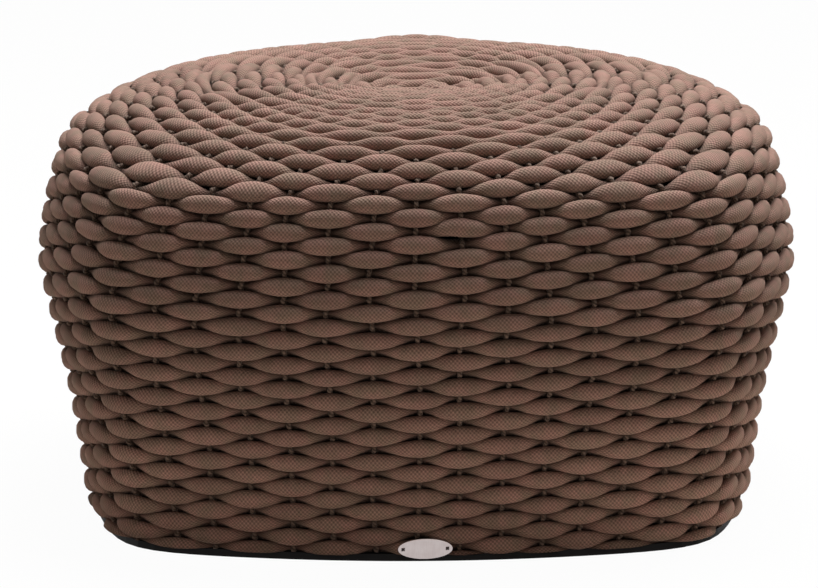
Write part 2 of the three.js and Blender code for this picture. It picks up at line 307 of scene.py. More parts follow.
def plan_point(turn_share, squareness):
    """Unit plan at shares of a turn, blended between the table's rows and steps."""
    row = squareness / SQUAREST_SHARE * (PLAN_ROWS - 1)
    low_row = np.clip(row.astype(int), 0, PLAN_ROWS - 2)
    row_part = (row - low_row)[:, None]
    step = (turn_share % 1) * PLAN_STEPS
    low_step = np.minimum(step.astype(int), PLAN_STEPS - 1)
    step_part = (step - low_step)[:, None]
    low = PLAN[low_row, low_step] * (1 - step_part) + PLAN[low_row, low_step + 1] * step_part
    high = PLAN[low_row + 1, low_step] * (1 - step_part) + PLAN[low_row + 1, low_step + 1] * step_part
    return low * (1 - row_part) + high * row_part


def outline_at(run, measure):
    """Reach, rise or squareness of the weave's outline at a run."""
    return np.interp(run, OUTLINE["run"], OUTLINE[measure])


def side_run(rise):
    """The run at a height of the side."""
    return np.interp(rise, OUTLINE["rise"][:SIDE_STEPS], OUTLINE["run"][:SIDE_STEPS])


def barrel_point(run, turn_share):
    """Points of the middle of the weave's thickness."""
    reach = outline_at(run, "reach")
    plan = plan_point(turn_share, outline_at(run, "squareness"))
    across = reach * plan[:, 0]
    deep = reach * plan[:, 1]
    stretch = MIDDLE_STRETCH * np.clip(1 - reach / MIDDLE_FADE, 0, 1)
    across = across + stretch * across / np.hypot(across, MIDDLE_ROUNDING)
    return np.stack([across, deep, outline_at(run, "rise")], axis=1)


def barrel_outward(run, turn_share):
    """Directions square to the barrel's face, pointing out of it."""
    up = barrel_point(run + PROBE_RUN, turn_share) - barrel_point(run - PROBE_RUN, turn_share)
    ahead = barrel_point(run, turn_share + PROBE_TURN_SHARE)
    behind = barrel_point(run, turn_share - PROBE_TURN_SHARE)
    return unit(np.cross(ahead - behind, up))


def course_spacing():
    """The run at the lowest course, and the spacing of the courses up to the middle's room."""
    spacing = TOP_RUN / COURSES
    for _ in range(SPACING_ROUNDS):
        foot = side_run(BOARD_TOP + spacing / 2)
        spacing = (TOP_RUN - foot) / (COURSES + MIDDLE_ROOM_COURSES)
    return foot, spacing


FOOT_RUN, PITCH = course_spacing()


def random_heights(rng, grid_size):
    """A grid of random heights from -1 to 1 that closes on itself round the barrel."""
    grid = rng.uniform(-1, 1, grid_size)
    grid[-1] = grid[0]
    return grid


def read_heights(grid, turn_share, run):
    """The grid's heights at places on the barrel, with soft steps between them."""
    row = np.clip(turn_share % 1, 0, 1) * (grid.shape[0] - 1)
    column = np.clip(run / TOP_RUN, 0, 1) * (grid.shape[1] - 1)
    low_row = np.minimum(row.astype(int), grid.shape[0] - 2)
    low_column = np.minimum(column.astype(int), grid.shape[1] - 2)
    row_part = smooth(row - low_row)
    column_part = smooth(column - low_column)
    low = grid[low_row, low_column] * (1 - row_part) + grid[low_row + 1, low_column] * row_part
    high = grid[low_row, low_column + 1] * (1 - row_part) + grid[low_row + 1, low_column + 1] * row_part
    return low * (1 - column_part) + high * column_part


RNG = np.random.default_rng(SEED)
WANDER = random_heights(RNG, WANDER_GRID)
WAVE = random_heights(RNG, WAVE_GRID)


def course_number(run, turn_share):
    """Which course a place lies in: whole along a course's middle, and counted from the +X side."""
    return (run - FOOT_RUN) / PITCH - CORD_COUNT * (turn_share % 1)


def zone_warps():
    """How many upright cords each course crosses, from the first course that starts below the foot."""
    counts = []
    for course in range(-CORD_COUNT, COURSES + CORD_COUNT):
        reach = outline_at(FOOT_RUN + (course + CORD_COUNT / 2) * PITCH, "reach")
        reached = [count for count, least in WARP_ZONES if reach >= least]
        counts.append(reached[0] if reached else WARP_ZONES[-1][0])
    return np.array(counts)


WARPS_BY_COURSE = zone_warps()


def shoulder_share(run, length):
    """One where the side turns into the top, falling off over a length to both sides."""
    return bell(run - SHOULDER_RUN_SHARE * TOP_RUN, length)


def top_share(run):
    """Nought on the side and one on the top."""
    past_start = run / TOP_RUN - SHOULDER_START_SHARE
    return smooth(np.clip(past_start / (SHOULDER_END_SHARE - SHOULDER_START_SHARE), 0, 1))


def warp_wander(run, turn_share):
    """How far, in spacings, the upright cords stray sideways."""
    amount = WARP_WANDER_SHARE + SHOULDER_WANDER_SHARE * shoulder_share(run, WANDER_LENGTH)
    return amount * read_heights(WANDER, turn_share, run)


def course_wave(run, turn_share):
    """How far the courses stray up and down, with one place where two of them part."""
    calm = np.clip(run / FOOT_CALM_LENGTH, 0, 1)
    amount = blend(COURSE_WAVE, SHOULDER_WAVE, shoulder_share(run, WAVE_LENGTH))
    wave = calm * amount * read_heights(WAVE, turn_share, run)
    away = run - side_run(PARTING_HEIGHT)
    beside = bell(turn_share % 1 - PARTING_TURN_SHARE, PARTING_WIDTH_SHARE)
    return wave + PARTING_SIZE * np.sign(away) * beside * np.exp(-abs(away) / PARTING_REACH)


def loose_crest(run, turn_share):
    """How far the rim stands proud at the middle of the back and of the front, where hands pull it."""
    lift = 0
    for middle, width, height in zip(CREST_TURN_SHARES, CREST_WIDTH_SHARES, CREST_HEIGHTS):
        lift = lift + height * bell(turn_share % 1 - middle, width)
    return lift * bell(run - CREST_RUN_SHARE * TOP_RUN, CREST_REACH)


def warp_number(count, share):
    """Which upright cord a share of a turn lies at, whole numbers being on a cord."""
    # The first two terms of a triangle wave, so that the spacing is even along each side
    turned = WARP_SWINGS * 2 * math.pi * share
    swing = np.sin(turned) - np.sin(3 * turned) / 3 ** 2
    return count * (share - WARP_SPREAD_SHARE * swing / (WARP_SWINGS * 2 * math.pi))


def warp_share(count, number):
    """The share of a turn at which an upright cord stands."""
    shares = np.linspace(0, 1, PLAN_STEPS + 1)
    return np.interp(number, warp_number(count, shares), shares)


def weave_phase(run, turn_share, course):
    """Angle that is a whole turn from one crossing over an upright cord to the next over one."""
    count = WARPS_BY_COURSE[np.clip(course + CORD_COUNT, 0, len(WARPS_BY_COURSE) - 1)]
    wander = warp_wander(run, turn_share)
    return math.pi * (warp_number(count, turn_share % 1) + wander + course + 1)


def zone_change(course, turn_share):
    """One along the courses beside which the number of upright cords changes, or else nought."""
    place = np.clip(course + CORD_COUNT, 1, len(WARPS_BY_COURSE) - 2)
    changes = WARPS_BY_COURSE[place - 1] != WARPS_BY_COURSE[place + 1]
    from_start = np.minimum(turn_share % 1, 1 - turn_share % 1)
    return changes * (1 - bell(from_start, ZONE_FADE_SHARE))


def frame_room(points, depth):
    """Depths kept clear of the ribs, the base ring and the hub."""
    rib_turn = 2 * math.pi / RIB_COUNT
    angle = np.arctan2(points[:, 1], points[:, 0])
    reach = np.hypot(points[:, 0], points[:, 1])
    nearest = np.round(angle / rib_turn) * rib_turn
    aside = abs(reach * np.sin(angle - nearest))
    tight = (aside < RIB_HALF_WIDTH) | (points[:, 2] < RING_TOP + PITCH) | (reach < HUB_REACH)
    return np.where(tight, np.minimum(depth, FRAME_ROOM), depth)


def new_mesh(name, points, quads, caps, uvs, values=None):
    """A mesh from smooth quads and flat caps, with the cord's run as UVs and values at its points."""
    mesh = bpy.data.meshes.new(name)
    corners = np.concatenate([np.ravel(quads), *caps]).astype(np.int32)
    sizes = [quads.shape[1]] * len(quads) + [len(cap) for cap in caps]
    mesh.vertices.add(len(points))
    mesh.vertices.foreach_set("co", (points * MM).astype(np.float32).ravel())
    mesh.loops.add(len(corners))
    mesh.loops.foreach_set("vertex_index", corners)
    mesh.polygons.add(len(sizes))
    mesh.polygons.foreach_set("loop_start", (np.cumsum(sizes) - sizes).astype(np.int32))
    mesh.update(calc_edges=True)
    mesh.polygons.foreach_set("use_smooth", np.arange(len(sizes)) < len(quads))
    layer = mesh.uv_layers.new(name="cord_run")
    cap_uvs = np.zeros((len(corners) - len(uvs), 2))
    layer.data.foreach_set("uv", np.vstack([uvs, cap_uvs]).astype(np.float32).ravel())
    for key, value in (values or {}).items():
        layer = mesh.attributes.new(key, "FLOAT", "POINT")
        layer.data.foreach_set("value", value.astype(np.float32))
    mesh.validate()
    return mesh


def new_piece(name, mesh, finish):
    """A piece of the footstool with its finish, riding on the one body."""
    piece = bpy.data.objects.new(name, mesh)
    bpy.context.scene.collection.objects.link(piece)
    piece.data.materials.append(finish)
    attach(piece, "root")
    return piece


def tube_faces(rings, sides, ring_lengths):
    """Quads between rings of points, the caps at both ends, and the run of the cord as UVs."""
    ring = np.arange(rings - 1)[:, None] * sides
    side = np.arange(sides)[None, :]
    following = (side + 1) % sides
    quads = np.stack([ring + side, ring + following, ring + sides + following, ring + sides + side], axis=2)
    low = np.broadcast_to(ring_lengths[:-1, None], quads.shape[:2])
    high = np.broadcast_to(ring_lengths[1:, None], quads.shape[:2])
    left = np.broadcast_to(side / sides, quads.shape[:2])
    right = np.broadcast_to((side + 1) / sides, quads.shape[:2])
    uvs = np.stack([low, left, low, right, high, right, high, left], axis=2).reshape(-1, 2)
    last = (rings - 1) * sides
    caps = (np.arange(sides)[::-1], last + np.arange(sides))
    return quads.reshape(-1, 4), caps, uvs * (MM, 1)


def cord_place(cord, turns):
    """Run and turn share of one cord, which climbs as many courses in each turn as there are cords."""
    return FOOT_RUN + CORD_COUNT * PITCH * turns, turns + FIRST_CORD_TURN_SHARE + cord / CORD_COUNT


def woven_route(cord):
    """Even steps along one cord, as its turns and its length so far."""
    turns = np.linspace(CORD_FIRST_TURN, CORD_LAST_TURN, ROUTE_STEPS)
    length = length_along(barrel_point(*cord_place(cord, turns)))
    even = np.arange(0, length[-1], CORD_STEP)
    return np.interp(even, length, turns), even


def stitch_chances(cord, phase):
    """How much each stitch's size and shade differ from the usual, from -1 to 1."""
    rng = np.random.default_rng(SEED + cord + 1)
    stitch = np.cumsum(np.abs(np.diff(phase, prepend=phase[0]))) / math.pi
    knots = np.arange(int(stitch[-1]) + SPARE_STITCHES)
    size = np.interp(stitch, knots, rng.uniform(-1, 1, len(knots)))
    shade = np.interp(stitch, knots, rng.uniform(-1, 1, len(knots)))
    return size, shade


def stitch_shape(run, share, course, phase, swell):
    """Half height, half thickness and depth of a cord as it swells and is pinched by turns."""
    top = top_share(run)
    shoulder = shoulder_share(run, SHOULDER_EASE_LENGTH)
    pressed = np.maximum(top * np.sin(2 * math.pi * share) ** 2, ZONE_EASE_SHARE * zone_change(course, share))
    eased = SHOULDER_STITCH_SHARE * shoulder * (1 - pressed)
    most = blend(STITCH_HEIGHT_SHARE, PRESSED_HEIGHT_SHARE, pressed) + eased
    least = blend(CORD_LEAST_SHARE, PRESSED_LEAST_SHARE, pressed) + eased
    from_swell = abs((phase / math.pi + 1) % 2 - 1)
    row_step = barrel_point(run + PITCH / 2, share) - barrel_point(run - PITCH / 2, share)
    spacing = np.linalg.norm(row_step, axis=1)
    half_height = swell * spacing / 2 * blend(most, least, from_swell ** STITCH_POWER)
    pinch = ((1 - np.cos(phase)) / 2) ** blend(SIDE_PINCH_POWER, TOP_PINCH_POWER, top)
    pinch = pinch * blend(1, PRESSED_RELIEF_SHARE, pressed) * (1 - SHOULDER_EASE_SHARE * shoulder)
    half_thickness = blend(CORD_OVER_THICKNESS, CORD_UNDER_THICKNESS, pinch) / 2
    depth = blend(CORD_OVER_DEPTH, CORD_UNDER_DEPTH, pinch) - loose_crest(run, share)
    return half_height, half_thickness, depth


def across_path(path, outward):
    """Directions along a path and square to it in the barrel's face."""
    ahead = unit(np.gradient(path, axis=0))
    return ahead, unit(np.cross(outward, ahead))


def woven_rings(cord):
    """Rings of points round one cord, with their painted shade by depth, lengths, shades, phases and runs."""
    turns, length = woven_route(cord)
    run, share = cord_place(cord, turns)
    course = np.round(course_number(run, share)).astype(int)
    phase = weave_phase(run, share, course)
    size, shade = stitch_chances(cord, phase)
    swell = 1 + STITCH_UNEVENNESS_SHARE * size
    half_height, half_thickness, depth = stitch_shape(run, share, course, phase, swell)
    left = length[-1] - length
    depth = depth + CORD_TUCK_DEPTH * np.clip(1 - left / CORD_TUCK_LENGTH, 0, 1) ** 2
    moved = run + course_wave(run, share)
    centre = barrel_point(moved, share)
    outward = barrel_outward(moved, share)
    across = across_path(centre, outward)[1]
    rings = np.empty((len(run), CORD_SIDES, 3))
    painted_depth_shade = np.empty((len(run), CORD_SIDES))
    for side in range(CORD_SIDES):
        angle = side * 2 * math.pi / CORD_SIDES
        below = frame_room(centre, depth - half_thickness * math.cos(angle))
        reach = half_height
        if math.cos(angle) < 0:
            reach = np.maximum(half_height, CORD_BACK_SHARE * PITCH / 2)
        sideways = reach * math.sin(angle)
        rings[:, side] = centre + outward * (CORD_INSET - below)[:, None] + across * sideways[:, None]
        # Painted shade: one at the face of the weave, falling to nought where the cord lies deep
        painted_depth_shade[:, side] = np.clip(1 - below / CORD_UNDER_DEPTH, 0, 1)
    rings[:, :, 2] = np.maximum(rings[:, :, 2], BOARD_TOP + FIT_GAP)
    return rings, painted_depth_shade, length, shade, phase, run


def stretch_ends(run, phase):
    """Ring numbers where a cord is parted into its named stretches, each behind an upright cord."""
    over = np.cos(phase)
    pinched = np.flatnonzero((over[1:-1] < over[:-2]) & (over[1:-1] <= over[2:])) + 1
    ends = [0]
    for level in STRETCH_RUN_SHARES:
        wanted = np.searchsorted(run, level * TOP_RUN)
        ends.append(int(pinched[np.argmin(abs(pinched - wanted))]))
    ends.append(len(run) - 1)
    return zip(STRETCH_NAMES, ends[:-1], ends[1:])


def woven_cord(cord, letter, finish):
    """One braided cord in its named stretches, from the foot to the middle of the top."""
    rings, painted_depth_shade, length, shade, phase, run = woven_rings(cord)
    pieces = []
    for stretch, first, last in stretch_ends(run, phase):
        name = f"cord_{letter}_{stretch}"
        part = slice(first, last + 1)
        quads, caps, uvs = tube_faces(last + 1 - first, CORD_SIDES, length[part])
        # Painted shade by depth, and the stitch's own random tint
        values = {"painted_depth_shade": painted_depth_shade[part].ravel(), "stitch_tint": np.repeat(shade[part], CORD_SIDES)}
        mesh = new_mesh(name, rings[part].reshape(-1, 3), quads, caps, uvs, values)
        pieces.append(new_piece(name, mesh, finish))
    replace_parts(pieces[0], f"rope_{letter}")


def warp_path(count, number, low_course, high_course):
    """Runs and turn shares along one upright cord, dense where it ties a course down."""
    share = float(warp_share(count, number))
    climb = CORD_COUNT * share
    # No tie is more than half a course below the foot
    lowest = max(low_course, math.ceil(-0.5 - climb))
    courses = np.arange(lowest, min(high_course, COURSES - climb) + 1)
    ties = courses[(number + courses) % 2 == 0]
    middles = FOOT_RUN + (ties + climb) * PITCH
    run = np.ravel(middles[:, None] + np.array(WARP_OFFSETS)[None, :])
    return run, np.full(len(run), share)


def warp_depth(run, share, number):
    """How deep an upright cord lies: near the face at its ties and behind the courses between them."""
    position = course_number(run, share)
    tied = np.round((position - number) / 2) * 2 + number
    offset = (position - tied) * PITCH
    front = blend(WARP_FRONT_DEPTH, WARP_SHOULDER_DEPTH, shoulder_share(run, WARP_PULL_LENGTH))
    return blend(WARP_BACK_DEPTH, front, bell(offset, WARP_TIE_SPREAD)) - loose_crest(run, share)


def warp_rings(count, number, low_course, high_course):
    """Rings of points round one upright two-ply cord and its length so far, if it ties a course."""
    run, share = warp_path(count, number, low_course, high_course)
    if not len(run):
        return None
    share = warp_share(count, number - warp_wander(run, share))
    depth = warp_depth(run, share, number)
    moved = run + course_wave(run, share)
    outward = barrel_outward(moved, share)
    centre = barrel_point(moved, share) + outward * (CORD_INSET - depth)[:, None]
    ahead, across = across_path(centre, outward)
    facing = np.cross(ahead, across)
    length = length_along(centre)
    twist = 2 * math.pi * length / WARP_TWIST_LENGTH
    rings = np.empty((len(run), WARP_SIDES, 3))
    for side in range(WARP_SIDES):
        angle = side * 2 * math.pi / WARP_SIDES
        radius = WARP_RADIUS + WARP_LOBE * np.cos(WARP_PLIES * (angle - twist))
        rings[:, side] = centre + facing * (radius * math.cos(angle))[:, None]
        rings[:, side] += across * (radius * math.sin(angle))[:, None]
    rings[:, :, 2] = np.maximum(rings[:, :, 2], BOARD_TOP + FIT_GAP)
    return rings, length


def warp_spans():
    """The number of upright cords of each zone, with its first and last course."""
    spans = []
    for count, _ in WARP_ZONES:
        courses = np.flatnonzero(WARPS_BY_COURSE == count) - CORD_COUNT
        spans.append((count, int(courses[0]), int(courses[-1])))
    return spans


def joined_tubes(name, tubes, finish):
    """Many tubes of the same number of sides as one piece."""
    points, quads, caps, uvs = [], [], [], []
    start = 0
    for rings, length in tubes:
        faces, ends, run_uvs = tube_faces(len(rings), WARP_SIDES, length)
        points.append(rings.reshape(-1, 3))
        quads.append(faces + start)
        caps.extend(end + start for end in ends)
        uvs.append(run_uvs)
        start += len(rings) * WARP_SIDES
    mesh = new_mesh(name, np.vstack(points), np.vstack(quads), caps, np.vstack(uvs))
    return new_piece(name, mesh, finish)


def upright_cords(finish):
    """The twisted cords that tie the courses, in pieces for the low side, the high side and the top."""
    (count, first, last), *top_spans = warp_spans()
    half = (first + last) // 2
    groups = {
        "upright_cords_low": [(count, first, half)],
        "upright_cords_high": [(count, half + 1, last)],
        "upright_cords_top": top_spans,
    }
    for name, spans in groups.items():
        tubes = []
        for count, low_course, high_course in spans:
            for number in range(1, count + 1):
                tubes.append(warp_rings(count, number, low_course, high_course))
        joined_tubes(name, [tube for tube in tubes if tube is not None], finish)


def linear(hex_colour):
    """A written sRGB colour as linear red, green, blue and alpha."""
    parts = [int(hex_colour[i:i + 2], 16) / 255 for i in (1, 3, 5)]
    return tuple(p / 12.92 if p <= 0.04045 else ((p + 0.055) / 1.055) ** 2.4 for p in parts) + (1,)


def join(tree, node, links):
    """Links from other nodes' outputs into a node's sockets."""
    for key, source in links.items():
        tree.links.new(source, node.inputs[key])


def add_node(tree, kind, settings=None, links=None):
    """A node of one kind, with values for its settings and sockets and links into its sockets."""
    node = tree.nodes.new(kind)
    for key, value in (settings or {}).items():
        if isinstance(key, int) or key in node.inputs:
            node.inputs[key].default_value = value
        else:
            setattr(node, key, value)
    join(tree, node, links or {})
    return node


def blank_finish(name, colour, roughness, metallic=0, specular=0.5):
    """A principled material with its plain values, its tree and its shader."""
    finish = bpy.data.materials.new(name)
    finish.use_nodes = True
    shader = finish.node_tree.nodes["Principled BSDF"]
    shader.inputs["Base Color"].default_value = linear(colour)
    shader.inputs["Roughness"].default_value = roughness
    shader.inputs["Metallic"].default_value = metallic
    shader.inputs["Specular IOR Level"].default_value = specular
    return finish, finish.node_tree, shader


# Plaits of the braided cord, three times as coarse as the real 1.2 mm so that they show. The
# first set of strands stands a little prouder than the second
PLAIT_LENGTH = 3.6 * MM
PLAITS_ROUND = 12
PLAIT_RELIEF = 0.7 * MM
FIRST_STRAND_SHARE = 1.2


def braid_relief(tree):
    """Height of the plaits: two crossing sets of strands as waves along and round the cord."""
    place = add_node(tree, "ShaderNodeUVMap", {"uv_map": "cord_run"})
    parts = add_node(tree, "ShaderNodeSeparateXYZ", links={0: place.outputs[0]})
    along = add_node(tree, "ShaderNodeMath", {"operation": "MULTIPLY", 1: 2 * math.pi / PLAIT_LENGTH},
                     {0: parts.outputs[0]})
    around = add_node(tree, "ShaderNodeMath", {"operation": "MULTIPLY", 1: 2 * math.pi * PLAITS_ROUND},
                      {0: parts.outputs[1]})
    waves = []
    for operation in ("ADD", "SUBTRACT"):
        diagonal = add_node(tree, "ShaderNodeMath", {"operation": operation},
                            {0: along.outputs[0], 1: around.outputs[0]})
        waves.append(add_node(tree, "ShaderNodeMath", {"operation": "SINE"}, {0: diagonal.outputs[0]}))
    plait = add_node(tree, "ShaderNodeMath", {"operation": "MULTIPLY_ADD", 1: FIRST_STRAND_SHARE},
                     {0: waves[0].outputs[0], 2: waves[1].outputs[0]})
    highest = 1 + FIRST_STRAND_SHARE
    return add_node(tree, "ShaderNodeMapRange", {"From Min": -highest, "From Max": highest},
                    {0: plait.outputs[0]})


# Yarns of two dye lots lie together, so patches a few centimetres long turn redder or greener
HEATHER_LENGTH = 20 * MM
HEATHER_NOISE = {"Scale": 1 / HEATHER_LENGTH, "Detail": 4, "Roughness": 0.7}
HEATHER_RANGE = {"From Min": 0.38, "From Max": 0.62}

# Each stitch is a shade lighter or darker. Painted shade darkens a cord where it lies deep in the weave and
# lightens its outermost face, painted shade darkens the grooves between strands and painted light brightens
# their tops, and painted light makes the lowest courses paler
STITCH_RANGE = {"From Min": -1, "From Max": 1, "To Min": 0.88, "To Max": 1.1}
PAINTED_DEPTH_SHADE_RANGE = {"From Min": 0.14, "From Max": 0.7, "To Min": 0.36, "To Max": 1.14}
PAINTED_GROOVE_SHADE_RANGE = {"To Min": 0.55, "To Max": 1.4}
# Painted light: the lowest courses are paler up to this height, as light from the floor would leave them
FOOT_LIGHT_HEIGHT = 170 * MM
PAINTED_FOOT_LIGHT_RANGE = {"From Max": FOOT_LIGHT_HEIGHT, "To Min": 1.6, "To Max": 1}


def braided_polyester():
    """Solution-dyed polyester cord, round-braided over a soft core: matt, heathered, finely ribbed."""
    finish, tree, shader = blank_finish("braided_polyester_cord", "#8a6e62", 0.9, specular=0.22)
    shader.inputs["Sheen Weight"].default_value = 0.12
    shader.inputs["Sheen Roughness"].default_value = 0.5
    shader.inputs["Sheen Tint"].default_value = linear("#d9c4b8")
    relief = braid_relief(tree)
    where = add_node(tree, "ShaderNodeTexCoord")
    heather = add_node(tree, "ShaderNodeTexNoise", HEATHER_NOISE, {0: where.outputs["Object"]})
    lot = add_node(tree, "ShaderNodeMapRange", HEATHER_RANGE, {0: heather.outputs[0]})
    dye = add_node(tree, "ShaderNodeMix", {"data_type": "RGBA", 6: linear("#877265"), 7: linear("#99786e")},
                   {0: lot.outputs[0]})
    tint = add_node(tree, "ShaderNodeAttribute", {"attribute_name": "stitch_tint"})
    painted_depth_shade = add_node(tree, "ShaderNodeAttribute", {"attribute_name": "painted_depth_shade"})
    height = add_node(tree, "ShaderNodeSeparateXYZ", links={0: where.outputs["Object"]})
    light = add_node(tree, "ShaderNodeMapRange", STITCH_RANGE, {0: tint.outputs["Fac"]})
    # Painted shade deep in the weave and in the grooves between strands, painted light on the strands' tops
    # and on the lowest courses
    for limits, source in ((PAINTED_DEPTH_SHADE_RANGE, painted_depth_shade.outputs["Fac"]), (PAINTED_GROOVE_SHADE_RANGE, relief.outputs[0]),
                           (PAINTED_FOOT_LIGHT_RANGE, height.outputs[2])):
        factor = add_node(tree, "ShaderNodeMapRange", limits, {0: source})
        light = add_node(tree, "ShaderNodeMath", {"operation": "MULTIPLY"},
                         {0: light.outputs[0], 1: factor.outputs[0]})
    colour = add_node(tree, "ShaderNodeVectorMath", {"operation": "SCALE"},
                      {0: dye.outputs[2], "Scale": light.outputs[0]})
    bump = add_node(tree, "ShaderNodeBump", {"Strength": 0.8, "Distance": PLAIT_RELIEF},
                    {"Height": relief.outputs[0]})
    join(tree, shader, {"Base Color": colour.outputs[0], "Normal": bump.outputs[0]})
    return finish


# Yarns of the twisted cord, twice as coarse as real ones
TWINE_YARN_LENGTH = 2.2 * MM
TWINE_RELIEF = 0.3 * MM


def twisted_twine():
    """Two-ply polyester twine, twisted tight, with slanted yarns: darker than the braid as painted shade of
    the slots it lies in, with painted shade in the grooves of its twist and painted light on its crests.
    """
    finish, tree, shader = blank_finish("twisted_polyester_twine", "#8f7b6f", 0.85, specular=0.25)
    shader.inputs["Sheen Weight"].default_value = 0.1
    place = add_node(tree, "ShaderNodeUVMap", {"uv_map": "cord_run"})
    parts = add_node(tree, "ShaderNodeSeparateXYZ", links={0: place.outputs[0]})
    along = add_node(tree, "ShaderNodeMath", {"operation": "MULTIPLY", 1: 2 * math.pi / TWINE_YARN_LENGTH},
                     {0: parts.outputs[0]})
    around = add_node(tree, "ShaderNodeMath", {"operation": "MULTIPLY", 1: 2 * math.pi * WARP_PLIES},
                      {0: parts.outputs[1]})
    slant = add_node(tree, "ShaderNodeMath", {"operation": "SUBTRACT"},
                     {0: along.outputs[0], 1: around.outputs[0]})
    yarn = add_node(tree, "ShaderNodeMath", {"operation": "SINE"}, {0: slant.outputs[0]})
    relief = add_node(tree, "ShaderNodeMapRange", {"From Min": -1, "From Max": 1}, {0: yarn.outputs[0]})
    # Painted shade: both colours are darker than the braid for the shade the ties lie in, dark in the twist's
    # grooves and light on its crests
    shade = add_node(tree, "ShaderNodeMix", {"data_type": "RGBA", 6: linear("#4a3c34"), 7: linear("#857165")},
                     {0: relief.outputs[0]})
    bump = add_node(tree, "ShaderNodeBump", {"Strength": 0.6, "Distance": TWINE_RELIEF},
                    {"Height": relief.outputs[0]})
    join(tree, shader, {"Base Color": shade.outputs[2], "Normal": bump.outputs[0]})
    return finish


# Orange peel of sprayed powder, drawn at its real size of about 1.5 mm
PEEL_SIZE = 1.5 * MM
PEEL_RELIEF = 0.1 * MM


def powder_coated_aluminium():
    """Aluminium bar with a baked powder coat: dark grey, satin, with a faint orange peel."""
    finish, tree, shader = blank_finish("powder_coated_aluminium", "#3a3a3c", 0.45)
    where = add_node(tree, "ShaderNodeTexCoord")
    peel = add_node(tree, "ShaderNodeTexNoise", {"Scale": 1 / PEEL_SIZE, "Detail": 1},
                    {0: where.outputs["Object"]})
    tone = add_node(tree, "ShaderNodeMix", {"data_type": "RGBA", 6: linear("#343436"), 7: linear("#414144")},
                    {0: peel.outputs[0]})
    bump = add_node(tree, "ShaderNodeBump", {"Strength": 0.25, "Distance": PEEL_RELIEF},
                    {"Height": peel.outputs[0]})
    join(tree, shader, {"Base Color": tone.outputs[2], "Normal": bump.outputs[0]})
    return finish


# Pebble of a moulded face, drawn a little coarser than the real 0.6 mm, and its scuffs
PEBBLE_SIZE = 1 * MM
PEBBLE_RELIEF = 0.1 * MM
SCUFF_LENGTH = 28 * MM
SCUFF_NOISE = {"Scale": 1 / SCUFF_LENGTH, "Detail": 5, "Roughness": 0.65}
SCUFF_RANGE = {"From Min": 0.45, "From Max": 0.75}
SCUFF_ROUGHNESS = 0.2


def moulded_plastic(name, dark, light, roughness, specular):
    """Moulded polypropylene: near black, between matt and glossy, scuffed unevenly by floors."""
    finish, tree, shader = blank_finish(name, dark, roughness, specular=specular)
    where = add_node(tree, "ShaderNodeTexCoord")
    pebble = add_node(tree, "ShaderNodeTexVoronoi", {"Scale": 1 / PEBBLE_SIZE}, {0: where.outputs["Object"]})
    scuff = add_node(tree, "ShaderNodeTexNoise", SCUFF_NOISE, {0: where.outputs["Object"]})
    worn = add_node(tree, "ShaderNodeMapRange", SCUFF_RANGE, {0: scuff.outputs[0]})
    tone = add_node(tree, "ShaderNodeMix", {"data_type": "RGBA", 6: linear(dark), 7: linear(light)},
                    {0: worn.outputs[0]})
    gloss = add_node(tree, "ShaderNodeMapRange", {"To Min": roughness, "To Max": roughness + SCUFF_ROUGHNESS},
                     {0: worn.outputs[0]})
    bump = add_node(tree, "ShaderNodeBump", {"Strength": 0.15, "Distance": PEBBLE_RELIEF},
                    {"Height": pebble.outputs[0]})
    join(tree, shader,
         {"Base Color": tone.outputs[2], "Roughness": gloss.outputs[0], "Normal": bump.outputs[0]})
    return finish


# Mottling of the zinc, at its real size
MOTTLE_SIZE = 2 * MM


def zinc_plated_steel():
    """Zinc-plated steel screws: cool grey metal, mottled by the plating bath."""
    finish, tree, shader = blank_finish("zinc_plated_steel", "#b9bbbd", 0.35, metallic=1)
    where = add_node(tree, "ShaderNodeTexCoord")
    mottle = add_node(tree, "ShaderNodeTexNoise", {"Scale": 1 / MOTTLE_SIZE, "Detail": 3},
                      {0: where.outputs["Object"]})
    tone = add_node(tree, "ShaderNodeMix", {"data_type": "RGBA", 6: linear("#a5a8aa"), 7: linear("#c8cacb")},
                    {0: mottle.outputs[0]})
    join(tree, shader, {"Base Color": tone.outputs[2]})
    return finish


# Strokes of the brush that finished the tag, drawn twice as wide as the real 0.2 mm, and the
# clouds that handling leaves. The strokes don't change through the tag's thickness
STROKE_WIDTH = 0.4 * MM
STROKE_LENGTH = 8 * MM
STROKE_SCALES = (1 / STROKE_WIDTH, 1, 1 / STROKE_LENGTH)
STROKE_RELIEF = 0.03 * MM
STROKE_ROUGHNESS = {"To Min": 0.34, "To Max": 0.52}
CLOUD_SIZE = 7 * MM


